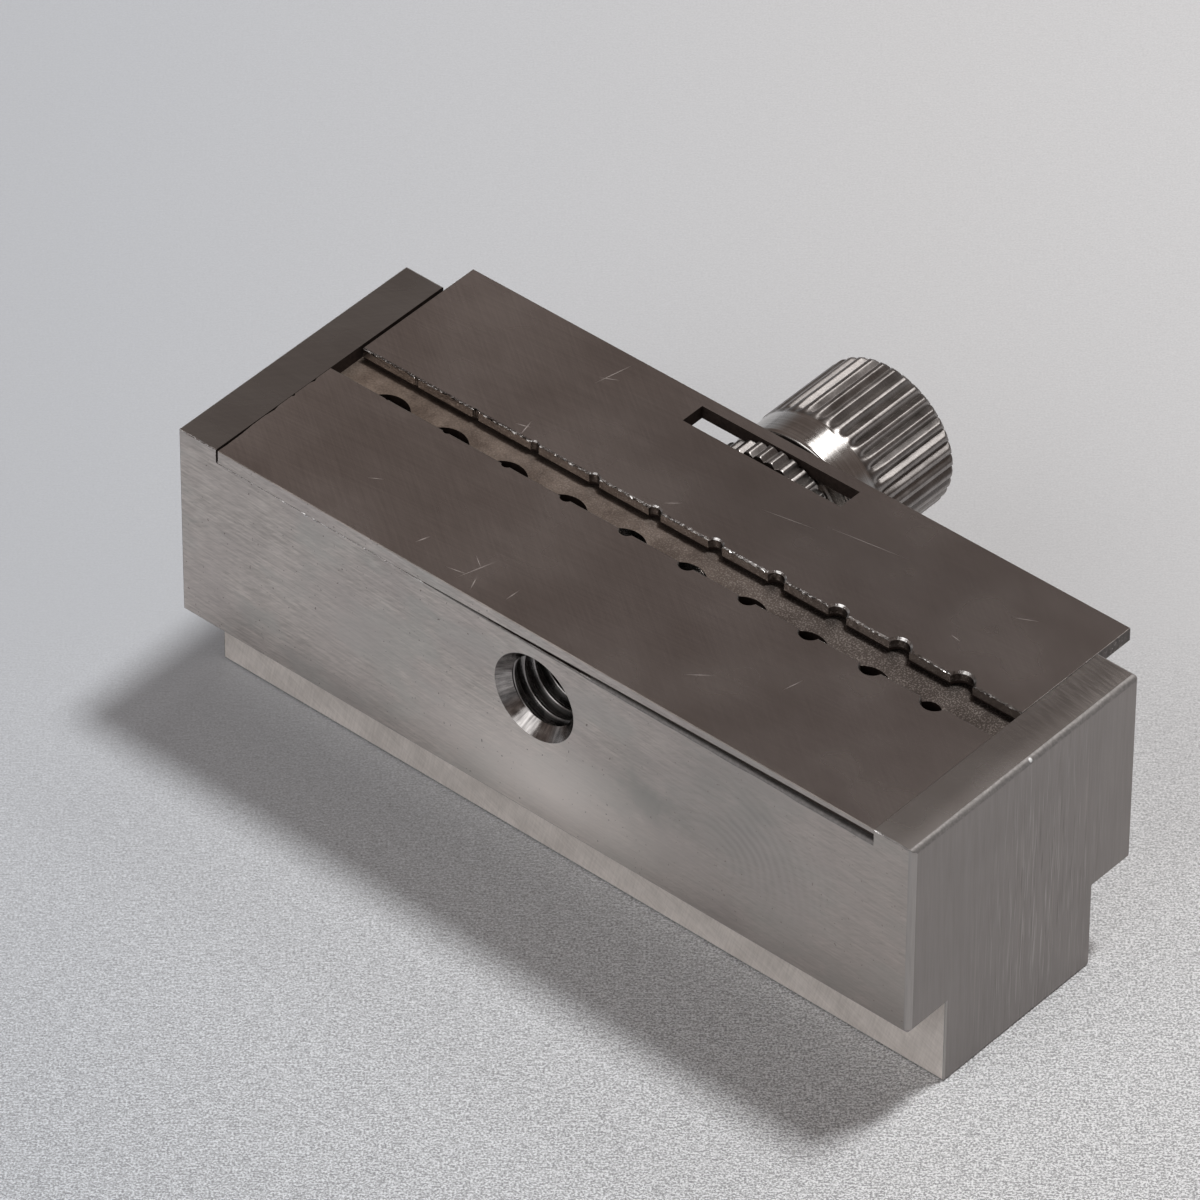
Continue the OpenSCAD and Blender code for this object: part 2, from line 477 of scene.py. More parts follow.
def pile(tree, how, values):
    """Takes many values together, two at a time."""
    total = values[0]
    for value in values[1:]:
        total = sums(tree, how, total, value)
    return total


def tones(tree, fine, patches, share, dark, light, rough):
    """The colour and roughness that fine marks and slow patches give. share is the patches' part."""
    mixed = plus(tree, times(tree, fine, 1 - share), times(tree, patches, share))
    colour = blend(tree, spread(tree, mixed, 0.36, 0.64, 0, 1), dark, light)
    return colour, spread(tree, patches, 0.35, 0.65, *rough)


def worked_steel(
    name, light, dark, rough, strokes, depth, patch=4.0, patch_share=0.4, mark=None, changes=(),
    metallic=1.0, specular=0.5,
):
    """Steel with fine strokes and slow patches.

    strokes are (size, share) or (size, share, turn). mark makes the single scratches,
    and changes alter the colour one after another.
    """
    material, tree, shader = steel(name, light, rough[0])
    shader.inputs["Metallic"].default_value = metallic
    shader.inputs["Specular IOR Level"].default_value = specular
    shares = [times(tree, marks(tree, size, *turn), share) for size, share, *turn in strokes]
    fine = pile(tree, "ADD", shares)
    patches = marks(tree, (patch, patch, patch), detail=3.0, shift=(3, 7, 1))
    colour, roughness = tones(tree, fine, patches, patch_share, dark, light, rough)
    if mark:
        lines = pile(tree, "MAXIMUM", mark(tree))
        bright = tuple(min(1.0, c * 1.7) for c in light)
        colour = blend(tree, spread(tree, lines, 0.0, 0.9, 0.0, 0.45), colour, bright)
        roughness = plus(tree, roughness, times(tree, lines, 0.3))
    for change in changes:
        colour = change(tree, colour)
    tree.links.new(colour, shader.inputs["Base Color"])
    tree.links.new(roughness, shader.inputs["Roughness"])
    relief(tree, shader, fine, depth)
    return material


def jaw_marks(tree):
    """The single scratches on the jaws' tops."""
    lines = [
        ((-11.13, 8.11), (-10.55, 10.81), 0.05),
        ((-11.3, 8.7), (-10.2, 9.3), 0.04),
        ((-11.27, 2.45), (-11.55, 3.72), 0.06),
        ((-12.1, 3.0), (-11.2, 3.3), 0.05),
        ((5.43, 7.38), (10.47, 8.21), 0.03),
        ((-7.2, -8.0), (-5.9, -7.7), 0.04),
        ((-6.6, -6.3), (-5.7, -6.9), 0.035),
        ((-2.1, 3.2), (-1.3, 3.9), 0.05),
        ((2.0, 6.2), (5.4, 6.9), 0.03),
        ((-9.67, -7.59), (-9.37, -6.69), 0.06),
        ((-5.03, -8.55), (-5.5, -7.4), 0.05),
        ((-6.23, -8.35), (-5.43, -5.76), 0.04),
        ((-3.15, -7.95), (-3.09, -6.85), 0.05),
        ((-15.0, -5.4), (-14.2, -4.9), 0.04),
        ((7.5, -6.3), (8.9, -5.2), 0.04),
        ((12.1, -3.9), (12.4, -2.6), 0.04),
        ((15.8, 5.1), (16.5, 5.0), 0.05),
        ((17.3, 8.2), (18.6, 8.9), 0.035),
    ]
    return [scratch(tree, start, end, width * 0.7) for start, end, width in lines]


def end_strokes(tree, colour):
    """Light and dark strokes down the middle of the right end."""
    zone = fleck(tree, (HALF_L, 1.6, 7.5), (2.0, 6.5, 14.0))
    for limit, share, tint, shift in (
        (0.56, 0.75, (0.44, 0.415, 0.40), (0, 4, 0)),
        (0.57, 0.8, (0.15, 0.135, 0.128), (0, 9, 3)),
    ):
        lines = marks(tree, (0.3, 0.1, 3.2), detail=2.0, shift=shift)
        strokes = spread(tree, lines, limit, limit + 0.12, 0, share)
        colour = blend(tree, times(tree, strokes, zone), colour, tint)
    return colour


def end_marks(tree):
    """Deeper strokes down the right end."""
    lines = [
        (-0.1, 8.0, 7.5), (0.25, 5.5, 4.5), (-3.6, 5.0, 4.5),
        (-3.2, 3.0, 2.6), (2.6, 6.0, 5.5), (5.1, 13.0, 3.0),
    ]
    return [fleck(tree, (HALF_L, y, z), (1.0, 0.08, half)) for y, z, half in lines]


def axes(tree, source=None):
    """The three coordinates on their own."""
    split = tree.nodes.new("ShaderNodeSeparateXYZ")
    tree.links.new(source or place(tree), split.inputs[0])
    return split.outputs


def scuffs_and_painted_rim_highlight(tree, colour):
    """A lighter rim along the right end, a painted highlight where the top rounds over, lighter still
    at its front, with short scuff strokes at its rear.
    """
    at = axes(tree)
    post = spread(tree, at["X"], 20 * MM, 22 * MM, 0, 1)
    front = spread(tree, at["Y"], 8 * MM, -9 * MM, 0.10, 0.22, smooth=True)
    # Painted highlight: lighter towards the outer edge, where the top rounds over into the end
    rim = spread(tree, at["X"], 23.4 * MM, 25.0 * MM, 0, 0.62, smooth=True)
    strokes = spread(tree, marks(tree, (1.3, 0.12, 0.3), (0, 0, -6)), 0.38, 0.62, -0.65, 0.75)
    rear = spread(tree, at["Y"], -1 * MM, 8 * MM, 0.02, 0.30, smooth=True)
    amount = pile(tree, "ADD", [front, rim, times(tree, strokes, rear)])
    return blend(tree, times(tree, amount, post), colour, (0.70, 0.685, 0.67))


def fading(start, end, share, tint):
    """A change of colour that grows from one place along X to another."""
    def change(tree, colour):
        return blend(tree, spread(tree, axes(tree)["X"], start * MM, end * MM, 0, share), colour, tint)
    return change


def shaded(middle, size, share, tint):
    """A change of colour that is strongest at one place and dies away around it."""
    def change(tree, colour):
        return blend(tree, times(tree, fleck(tree, middle, size), share), colour, tint)
    return change


def spots(places, tint):
    """A change of colour in a few small spots, each given by its middle and half sizes."""
    def change(tree, colour):
        found = pile(tree, "MAXIMUM", [fleck(tree, at, size) for at, size in places])
        return blend(tree, spread(tree, found, 0.0, 0.5, 0, 1), colour, tint)
    return change


def pits_patches_and_painted_shade(tree, colour):
    """The front face's pale and cool patches, faint curved cutter marks, small dark pits, and a painted
    shade that darkens it towards the right.
    """
    green = spread(tree, marks(tree, (4.0, 4.0, 2.2), detail=3.0, shift=(1, 5, 8)), 0.48, 0.62, 0, 0.4)
    colour = blend(tree, green, colour, (0.50, 0.505, 0.47))
    cool = pile(tree, "MAXIMUM", [
        fleck(tree, (7.3, -HALF_W, 10.6), (5.4, 4.0, 4.0)),
        fleck(tree, (13.8, -HALF_W, 13.2), (5.4, 4.0, 5.0)),
    ])
    broken = spread(tree, marks(tree, (2.5, 2.5, 1.6), detail=3.0), 0.35, 0.6, 0.2, 1.2)
    cool = times(tree, cool, broken)
    colour = blend(tree, times(tree, cool, 1.05), colour, (0.375, 0.37, 0.345))
    warm = spread(tree, marks(tree, (5.0, 5.0, 3.0), detail=2.0, shift=(9, 1, 4)), 0.42, 0.62, 0, 0.35)
    colour = blend(tree, warm, colour, (0.50, 0.445, 0.425))
    pale = times(tree, fleck(tree, (-13.5, -HALF_W, 10.0), (8.0, 4.0, 5.0)), 0.14)
    under = times(tree, fleck(tree, (0.8, -HALF_W, 7.6), (12.0, 4.0, 5.0)), 0.8)
    pale = plus(tree, pale, under)
    colour = blend(tree, pale, colour, (1.0, 0.925, 0.86))

    swirl = tree.nodes.new("ShaderNodeTexWave")
    swirl.wave_type = "RINGS"
    swirl.rings_direction = "SPHERICAL"
    swirl.inputs["Scale"].default_value = 0.55 / MM
    swirl.inputs["Distortion"].default_value = 9.0
    swirl.inputs["Detail"].default_value = 3.0
    swirl.inputs["Detail Scale"].default_value = 0.35
    centre = tree.nodes.new("ShaderNodeMapping")
    centre.inputs["Location"].default_value = (-11.5 * MM, HALF_W * MM, -9.5 * MM)
    tree.links.new(place(tree), centre.inputs["Vector"])
    tree.links.new(centre.outputs["Vector"], swirl.inputs["Vector"])
    near = fleck(tree, (14.5, -HALF_W, 12.0), (8.0, 5.0, 5.5))
    shown = times(tree, times(tree, swirl.outputs["Fac"], near), 0.44)
    colour = blend(tree, shown, colour, (0.66, 0.63, 0.61))

    dots = spread(tree, marks(tree, (0.2, 0.2, 0.2), detail=1.0, shift=(5, 1, 2)), 0.74, 0.77, 0, 0.7)
    colour = blend(tree, dots, colour, (0.16, 0.12, 0.11))
    # Painted shade: darker towards the right, where the face's reflection is dimmer
    side = spread(tree, axes(tree)["X"], -1 * MM, 12 * MM, 0, 0.46, smooth=True)
    colour = blend(tree, side, colour, (0.355, 0.32, 0.30))
    return colour


def painted_glint_grains(size, limit, tint, share, grow=None):
    """A change of colour: small bright grains, painted glints that stand for the sparkle of a rough
    face. grow is two places along X and the shares there.
    """
    def change(tree, colour):
        grain = marks(tree, (size, size, size), detail=1.0, shift=(2, 2, 2))
        amount = spread(tree, grain, limit, limit + 0.08, 0, share)
        if grow:
            x0, x1, low, high = grow
            more = spread(tree, axes(tree)["X"], x0 * MM, x1 * MM, low, high)
            amount = times(tree, amount, more)
        return blend(tree, amount, colour, tint)
    return change


def make_finishes():
    """Every finish on the clamp, by name."""
    made = {}

    def add(name, *looks, **more):
        made[name] = worked_steel(name, *looks, **more)

    add(
        "satin_top", (0.395, 0.375, 0.36), (0.335, 0.318, 0.305), (0.25, 0.29),
        [((3.0, 0.12, 0.12), 0.5, (0, 0, 50)), ((1.6, 0.12, 0.12), 0.5, (0, 0, 8))], 0.0008,
        patch=7.0, patch_share=0.25, changes=[scuffs_and_painted_rim_highlight],
    )
    add(
        "jaw_top", (0.55, 0.498, 0.474), (0.43, 0.389, 0.37), (0.24, 0.28),
        [((4.0, 0.12, 0.12), 0.5, (0, 0, 5)), ((3.0, 0.12, 0.12), 0.5, (0, 0, -35))], 0.0005,
        patch=6.0, patch_share=0.3, mark=jaw_marks, changes=[
            fading(-21, 14, 0.55, (0.28, 0.258, 0.25)),
            shaded((5.0, 7.0, TOP), (16.0, 6.0, 3.0), 0.5, (0.26, 0.24, 0.232)),
        ],
    )
    add(
        "jaw_edge", (0.34, 0.315, 0.295), (0.15, 0.13, 0.12), (0.28, 0.40),
        [((0.14, 0.14, 0.6), 0.6), ((0.15, 0.15, 0.15), 0.4)], 0.005,
        patch=0.8, changes=[painted_glint_grains(0.13, 0.64, (0.60, 0.575, 0.56), 0.4)],
    )
    add(
        "dark_end", (0.115, 0.099, 0.092), (0.055, 0.047, 0.043), (0.30, 0.42),
        [((0.14, 0.14, 0.5), 1.0)], 0.004,
        patch=0.8, changes=[painted_glint_grains(0.13, 0.64, (0.60, 0.57, 0.55), 0.4)],
    )
    add(
        "notch_wall", (0.26, 0.238, 0.225), (0.10, 0.088, 0.08), (0.28, 0.42),
        [((0.14, 0.14, 0.3), 1.0)], 0.006,
        patch=0.6, changes=[painted_glint_grains(0.12, 0.62, (0.80, 0.77, 0.75), 0.45)],
    )
    add(
        "facing", (0.60, 0.56, 0.53), (0.36, 0.33, 0.312), (0.18, 0.27),
        [((0.5, 0.5, 0.12), 0.5), ((0.16, 0.16, 0.16), 0.5)], 0.0025,
        patch=1.0, changes=[
            painted_glint_grains(0.12, 0.60, (1.0, 0.97, 0.95), 0.7),
            fading(13, 19, 0.75, (0.25, 0.23, 0.215)),
        ],
    )
    # Near black and barely reflecting: painted shade for faces that lie in shade, in the gaps, holes,
    # slot and under the jaws
    add(
        "painted_shade_wall", (0.040, 0.028, 0.023), (0.018, 0.012, 0.010), (0.65, 0.80),
        [((0.2, 0.2, 0.2), 1.0)], 0.004, patch=0.8, metallic=0.0, specular=0.15,
    )
    add(
        "burr", (0.86, 0.84, 0.82), (0.17, 0.155, 0.145), (0.18, 0.28),
        [((0.13, 0.13, 0.13), 0.8), ((0.4, 0.4, 0.4), 0.2)], 0.025, patch=0.5,
        changes=[fading(3, -14, 0.8, (0.20, 0.18, 0.17)), fading(15, 20, 0.75, (0.14, 0.125, 0.115))],
    )
    add(
        "nick", (0.95, 0.93, 0.91), (0.30, 0.28, 0.27), (0.22, 0.32),
        [((0.13, 0.13, 0.13), 1.0)], 0.012, patch=0.5,
    )
    add(
        "ground_front", (0.70, 0.637, 0.59), (0.445, 0.404, 0.373), (0.32, 0.38),
        [((1.1, 0.10, 0.10), 0.65, (0, 2, 0)), ((0.6, 0.12, 0.12), 0.35, (0, -25, 0))], 0.0012,
        patch=2.4, patch_share=0.25, changes=[pits_patches_and_painted_shade],
    )
    add(
        "ground_end", (0.288, 0.264, 0.252), (0.236, 0.216, 0.206), (0.28, 0.34),
        [((0.12, 0.12, 2.2), 0.5), ((0.2, 0.4, 9.0), 0.5, (2, 0, 0))], 0.0005,
        patch=5.0, patch_share=0.4, mark=end_marks, changes=[end_strokes],
    )
    add(
        "foot_side", (0.97, 0.905, 0.85), (0.74, 0.685, 0.635), (0.46, 0.55),
        [((0.12, 0.12, 1.2), 0.5, (0, 14, 0)), ((1.2, 0.14, 0.14), 0.5, (0, 25, 0))], 0.002,
        patch=1.6, metallic=0.4,
    )
    add(
        "recess", (0.37, 0.295, 0.243), (0.23, 0.182, 0.15), (0.38, 0.48),
        [((0.12, 0.12, 0.12), 0.8), ((0.5, 0.3, 0.3), 0.2)], 0.004,
        patch=1.4, patch_share=0.25, changes=[
            fading(-19, -8, 0.35, (0.19, 0.165, 0.155)), fading(-3, 9, 0.80, (0.115, 0.099, 0.091)),
            fading(10, 20, 0.35, (0.075, 0.063, 0.057)),
            painted_glint_grains(0.09, 0.54, (0.62, 0.555, 0.51), 0.42, grow=(-18, 8, 0.25, 0.85)),
        ],
    )
    add(
        "worn_edge_and_painted_glint", (0.38, 0.36, 0.348), (0.27, 0.256, 0.247), (0.64, 0.74),
        [((0.16, 0.16, 0.16), 1.0)], 0.002, patch=1.0, changes=[
            # A white spot on the right end's top edge: a painted glint
            spots([((24.9, 0.41, 17.8), (0.16, 0.14, 0.16))], (1.0, 1.0, 1.0)),
        ],
    )
    add(
        "soft_edge", (0.45, 0.425, 0.41), (0.38, 0.36, 0.345), (0.40, 0.48),
        [((0.12, 0.12, 2.0), 1.0)], 0.0005, patch=3.0,
    )
    for name, *looks in (
        ("turned", (0.62, 0.60, 0.58), (0.42, 0.40, 0.38), (0.13, 0.22), 0.0008),
        ("thread_steel", (0.46, 0.44, 0.425), (0.16, 0.15, 0.145), (0.20, 0.30), 0.0025),
        ("mouth", (0.48, 0.455, 0.44), (0.15, 0.14, 0.135), (0.14, 0.24), 0.0016, True),
        ("ribs", (0.33, 0.308, 0.295), (0.22, 0.205, 0.195), (0.28, 0.38), 0.0010),
    ):
        made[name] = turned_steel(name, *looks)
    return made


def turned_steel(name, light, dark, rough, depth, across=False):
    """Steel from the lathe, with fine rings about the screw's axis, or with marks across them."""
    material, tree, shader = steel(name, light, rough[0])
    at = axes(tree)
    side = sums(tree, "SUBTRACT", at["X"], SCREW_X * MM)
    up = sums(tree, "SUBTRACT", at["Z"], SCREW_Z * MM)
    squares = plus(tree, times(tree, side, side), times(tree, up, up))
    ring = tree.nodes.new("ShaderNodeCombineXYZ")
    tree.links.new(sums(tree, "SQRT", squares, 0), ring.inputs["X"])
    tree.links.new(at["Y"], ring.inputs["Y"])
    if across:
        # An angle in radians times 3 mm, so that the marks have a width in millimetres
        turn = times(tree, sums(tree, "ARCTAN2", up, side), 3 * MM)
        tree.links.new(turn, ring.inputs["Z"])
    fine_size = (1.0, 1.0, 0.16) if across else (0.09, 0.09, 1.0)
    rings = marks(tree, fine_size, detail=2.0, source=ring.outputs[0])
    blotch = 0.6 if across else 1.2
    patches = marks(tree, (blotch, blotch, blotch), detail=3.0)
    colour, roughness = tones(tree, rings, patches, 0.4, dark, light, rough)
    tree.links.new(colour, shader.inputs["Base Color"])
    tree.links.new(roughness, shader.inputs["Roughness"])
    relief(tree, shader, rings, depth)
    return material


def outer_planes(p):
    """Which of the body's outer planes a point lies on."""
    near = 0.002
    off = {
        "end": abs(p.x) - HALF_L, "side": abs(p.y) - HALF_W, "top": p.z - TOP,
        "shoulder": p.z - FOOT_H, "bottom": p.z,
    }
    found = {name for name, gap in off.items() if abs(gap) < near}
    if abs(abs(p.y) - FOOT_HALF) < near and p.z < FOOT_H + near:
        found.add("foot")
    return found


def rim(end, half, *planes):
    """A test for the body's edges where these outer planes meet.

    end is -1 for the left or 1 for the right, half is -1 for the front or 1 for the rear, 0 is both.
    """
    wanted = set(planes)

    def same(sign, u, v):
        return sign == 0 or (sign * u > 0 and sign * v > 0)

    def test(a, b):
        at_place = same(end, a.x, b.x) and same(half, a.y, b.y)
        return at_place and wanted <= outer_planes(a) & outer_planes(b)

    return test


def seam_size(x):
    """How far the body's edge below the fixed jaw is rounded off: next to nothing at the left."""
    return 0.03 + 0.13 * min(1, max(0, (x + 8) / 12)) + 0.06 * min(1, max(0, (x - 4) / 18))


# Nicks in that edge, at the left: where, half as long, how deep
SEAM_NICKS = [
    (-17.6, 0.16, 0.09), (-16.1, 0.22, 0.15), (-15.4, 0.24, 0.12), (-14.7, 0.18, 0.11),
    (-13.4, 0.16, 0.08), (-11.9, 0.14, 0.09), (-10.5, 0.14, 0.08), (-8.0, 0.2, 0.10),
]


def seam_tool():
    """What is cut away under the fixed jaw's front edge: outlines from left to right, bridged."""
    chance = random.Random(3)
    stations = 46
    end = INNER + 0.004
    front = -HALF_W
    loops = []
    lips = {}
    for n in range(stations):
        x = end * (2 * n / (stations - 1) - 1)
        lips[x] = seam_size(x) * chance.uniform(0.8, 1.2)
    for middle, half, deep in SEAM_NICKS:
        lips = {x: lip for x, lip in lips.items() if abs(x - middle) > half + 0.05}
        lips.update({
            middle - half: 0.03, middle - half / 3: deep,
            middle + half / 2: 0.8 * deep, middle + half: 0.03,
        })
    for x, lip in sorted(lips.items()):
        level = FLOOR - 0.012 - 0.1 * lip
        low = level - lip
        points = [(x, front - 1, FLOOR + 0.5), (x, front - 1, low), (x, front - 0.002, low)]
        for k in range(1, 5):
            turn = math.radians(90 * k / 5)
            points.append((x, front + lip * (1 - math.cos(turn)), level - lip * (1 - math.sin(turn))))
        deep = front + 1.2
        points += [(x, front + lip, level), (x, deep, level), (x, deep, FLOOR + 0.5), points[0]]
        loops.append(draw_line("seam_outline", points))
    tool = loops[0]
    only(tool)
    for loop in loops[1:]:
        loop.select_set(True)
    bpy.ops.object.join()
    edit(tool, "VERT", "SELECT")
    bpy.ops.mesh.remove_doubles(threshold=0.0002)
    bpy.ops.mesh.select_mode(type="EDGE")
    bpy.ops.mesh.select_all(action="SELECT")
    bpy.ops.mesh.bridge_edge_loops(type="SINGLE", number_cuts=0)
    done()
    for x in (-end, end):
        pick(tool, "EDGE", lambda a, b: abs(a.x - x) < 0.001 and abs(b.x - x) < 0.001)
        bpy.ops.mesh.edge_face_add()
        done()
    tidy_mesh(tool, 0.0002)
    return tool


def drill_pins(obj, low):
    """The holes for the two pins, from this height up."""
    for side in (-1, 1):
        combine(obj, upright("pin_hole", side * PIN_X, PIN_Y, low, TOP + 1, PIN_R, 32))


def make_body():
    body = block("body_block", (-HALF_L, -HALF_W, FOOT_H), (HALF_L, HALF_W, FLOOR))
    for y in (-FOOT_HALF, FOOT_HALF):
        slice_at(body, (0, y, 0), (0, 1, 0))
    for x in (-INNER, INNER):
        slice_at(body, (x, 0, 0), (1, 0, 0))
    pick(body, "FACE", lambda c, n: n.z < -0.9 and abs(c.y) < FOOT_HALF)
    bpy.ops.mesh.extrude_region_move(TRANSFORM_OT_translate={"value": (0, 0, -FOOT_H)})
    done()
    pick(body, "FACE", lambda c, n: n.z > 0.9 and abs(c.x) > INNER)
    bpy.ops.mesh.extrude_region_move(TRANSFORM_OT_translate={"value": (0, 0, TOP - FLOOR)})
    bpy.ops.mesh.select_all(action="SELECT")
    bpy.ops.mesh.dissolve_limited(angle_limit=math.radians(1))
    done()
    tidy_mesh(body)

    combine(body, seam_tool())

    # The edges are rounded by how worn they are, and get more points where they are nicked
    soften(body, [
        (rim(1, 0, "end", "top"), END_RIM),
        (rim(1, -1, "end", "side"), 0.32),
        (rim(1, 1, "end", "side"), 0.10),
        (rim(1, 0, "end", "foot"), 0.10),
        (rim(1, 0, "end", "shoulder"), 0.10),
        (rim(1, 0, "end", "bottom"), 0.08),
        (rim(-1, 0, "end"), 0.06),
        (rim(0, 1, "side", "shoulder"), 0.30),
        (rim(0, 1, "foot", "bottom"), 0.30),
        (rim(0, 1, "side", "top"), 0.10),
        (rim(0, -1, "side", "top"), POST_RIM),
        (rim(0, -1, "side", "shoulder"), 0.05),
        (rim(0, -1, "foot", "bottom"), 0.08),
    ], 4)
    low, near = END_RIM + 0.01, END_RIM - 0.01
    cut_across(
        body, lambda c, n: c.x > HALF_L - low and c.z > TOP - low and n.x < 0.999 and n.z < 0.999
        and abs(c.y) < HALF_W - 0.1,
        (0, 1, 0), [-HALF_W + 0.35 * k for k in range(1, 51)],
    )
    ruffle(
        body, lambda p: HALF_L - near < p.x < HALF_L - 0.003 and TOP - near < p.z < TOP - 0.003
        and abs(p.y) < HALF_W - 0.3,
        [(-0.012, 0.0), (-0.02, 0.02), (-0.012, 0.0)], seed=11,
    )
    low, near = POST_RIM + 0.001, POST_RIM - 0.002
    cut_across(
        body, lambda c, n: c.y < -HALF_W + low and c.z > TOP - low and n.y > -0.999 and n.z < 0.999
        and INNER < abs(c.x) < HALF_L - 0.1,
        (1, 0, 0), [side * (INNER + 0.3 * k) for side in (-1, 1) for k in range(1, 8)],
    )
    ruffle(
        body, lambda p: 0.001 < p.y + HALF_W < near and 0.001 < TOP - p.z < near
        and INNER + 0.1 < abs(p.x) < HALF_L - 0.35,
        [(-0.03, 0.03), (0.0, 0.02), (-0.02, 0.0)], seed=12,
    )

    # The thread starts behind the mouth, and its crests stay a little inside the plain bore
    mouth_y = -HALF_W + MOUTH_DEEP
    tap = threaded_rod("tap", mouth_y - 0.02, BORE_STEP_Y + 0.3, DRILL_R, THREAD_R - 0.01, phase=0.20)
    combine(body, tap)
    flare = (MOUTH_R - DRILL_R) / MOUTH_DEEP
    combine(body, along_screw("mouth", -HALF_W - 1, mouth_y, MOUTH_R + flare, DRILL_R))
    combine(body, along_screw("bore", BORE_STEP_Y, HALF_W + 1, THREAD_R, THREAD_R))
    combine(body, along_screw("pocket", POCKET_Y, HALF_W + 1, POCKET_R, POCKET_R))
    for i in range(HOLE_COUNT):
        shift, y, radius = LAST_RELIEF if i == HOLE_COUNT - 1 else RELIEF
        combine(body, upright("relief", hole_x(i) + shift, y, FLOOR - RELIEF_DEEP, FLOOR + 0.4, radius))
    drill_pins(body, TOP - PIN_LONG)
    tidy_mesh(body)
    return body


def slide_y(obj, test, amount):
    """Moves the points that pass the test along Y, by an amount worked out from each one's X."""
    places = sorted({round(v.co.x, 4) for v in obj.data.vertices if test(v.co)})
    for x in places:
        move(obj, lambda p: test(p) and abs(p.x - x) < 0.0005, (0, amount(x), 0))


def cut_notches(plate, edge_y, outward, wear):
    """The row of half-holes along a jaw's skewed edge, each with a worn lip."""
    for i in range(HOLE_COUNT):
        x = hole_x(i)
        y = edge_y + SKEW * x + outward * HALF_GRIP
        lip = wear * (0.05 + 0.008 * i)
        tool = upright("notch", x, y, FLOOR - 1, TOP + 0.2, hole_r(i), 48)
        slice_at(tool, (0, 0, TOP - lip), (0, 0, 1))
        pick(tool, "VERT", lambda p: p.z > TOP + 0.1)
        size = 1 + (lip + 0.2) / hole_r(i)
        bpy.ops.transform.resize(value=(size, size, 1), center_override=(x, y, TOP))
        done()
        combine(plate, tool)


def round_under(jaw):
    """Rounds off the fixed jaw's lower front edge, more and more towards the right."""
    def on_front(p):
        return p.y < -HALF_W + 0.001

    for x in (-10, -6, -2, 2, 8, 15):
        slice_at(jaw, (x, 0, 0), (1, 0, 0))
    # Each row of points: its height on the face, then its new height and depth as shares of the size
    rows = ((0.60, 1.0, 0.0), (0.40, 0.6, 0.09), (0.20, 0.25, 0.36), (0.0, 0.0, 0.85))
    for up, _, _ in rows[:-1]:
        pick(jaw, "FACE", lambda c, n: n.y < -0.9)
        bpy.ops.mesh.bisect(plane_co=(0, 0, FLOOR + up), plane_no=(0, 0, 1))
        done()
    stations = sorted({round(v.co.x, 3) for v in jaw.data.vertices if on_front(v.co)})
    for x in stations:
        size = 0.012 + 0.14 * min(1, max(0, (x + 10) / 8)) + 0.0175 * max(0, x + 2)
        for up, height, inward in reversed(rows):
            move(
                jaw, lambda p: on_front(p) and abs(p.x - x) < 0.01 and abs(p.z - FLOOR - up) < 0.004,
                (0, inward * size, height * size - up),
            )


def on_top(a, b):
    """Whether an edge lies in the clamp's top."""
    return min(a.z, b.z) > TOP - 0.001


def make_fixed_jaw():
    left, right = FIXED_X
    jaw = block("fixed_plate", (left, -HALF_W, FLOOR), (right, JAW_LINE, TOP))
    slide_y(jaw, lambda p: p.y > 0, lambda x: SKEW * x)
    soften(jaw, [
        (lambda a, b: on_top(a, b) and max(a.y, b.y) < -HALF_W + 0.01, 0.05),
        (lambda a, b: on_top(a, b) and min(a.y, b.y) > -0.5, 0.05),
    ], 3)
    # The left end touches the post here and there, and stands off at its front
    gaps = {
        -8.3: 0.14, -7.0: 0.11, -6.2: 0.04, -5.2: 0.02, -4.5: 0.09, -4.1: 0.01,
        -3.1: 0.0, -2.95: 0.10, -2.8: 0.0, -1.6: 0.0, -1.35: 0.09, -1.1: 0.0,
    }
    for y in gaps:
        slice_at(jaw, (0, y, 0), (0, 1, 0))
    gaps[-HALF_W] = 0.12
    for y, gap in gaps.items():
        reach = 0.08 if y == -HALF_W else 0.01
        move(jaw, lambda p: p.x < left + 0.2 and abs(p.y - y) < reach, (gap, 0, 0))
    round_under(jaw)
    cut_notches(jaw, JAW_LINE, 1, 0.5)
    drill_pins(jaw, FLOOR - 1)
    tidy_mesh(jaw)
    return jaw


def jaw_front(x):
    """Where the moving jaw's skewed front edge lies."""
    return JAW_FRONT + SKEW * x


def make_moving_jaw():
    left, right = MOVING_X
    jaw = block("moving_plate", (left, JAW_FRONT, JAW_UNDER), (right, JAW_REAR, TOP))
    slide_y(jaw, lambda p: True, lambda x: SKEW * x)

    def at_front(p, depth):
        return p.y < jaw_front(p.x) + depth

    # The rim is rounded while the plate is still plain, and nicked at the end
    soften(jaw, [
        (lambda a, b: on_top(a, b) and at_front(a, 0.001) and at_front(b, 0.001), RIM),
        (on_top, 0.03),
    ], 3)
    cut_across(
        jaw, lambda c, n: at_front(c, RIM) and c.z > TOP - RIM and 0.01 < n.z < 0.99,
        (1, 0, 0), [left + 0.12 * k for k in range(1, 371)],
    )
    cut_notches(jaw, JAW_FRONT, -1, 1.0)
    x0, x1, y0, y1 = SLOT
    slot = block("slot_cut", (x0, y0, FLOOR - 1), (x1, y1, TOP + 1))
    slide_y(slot, lambda p: True, lambda x: SKEW * x)
    combine(jaw, slot)
    tidy_mesh(jaw)
    # The lower part of the facing edge falls back
    slice_at(jaw, (0, 0, UNDERCUT_Z), (0, 0, 1))
    move(jaw, lambda p: p.z < JAW_UNDER + 0.01 and at_front(p, 0.75), (0, 0.13, 0))
    ruffle(
        jaw, lambda p: TOP - RIM + 0.005 < p.z < TOP - 0.002 and at_front(p, RIM)
        and left + 0.2 < p.x < right - 0.2,
        [(-0.02, 0.02), (-0.012, 0.03), (-0.04, 0.001)], seed=31, lots=11,
    )
    return jaw


def from_axis(p):
    """How far a point lies from the screw's axis."""
    return math.hypot(p.x - SCREW_X, p.z - SCREW_Z)


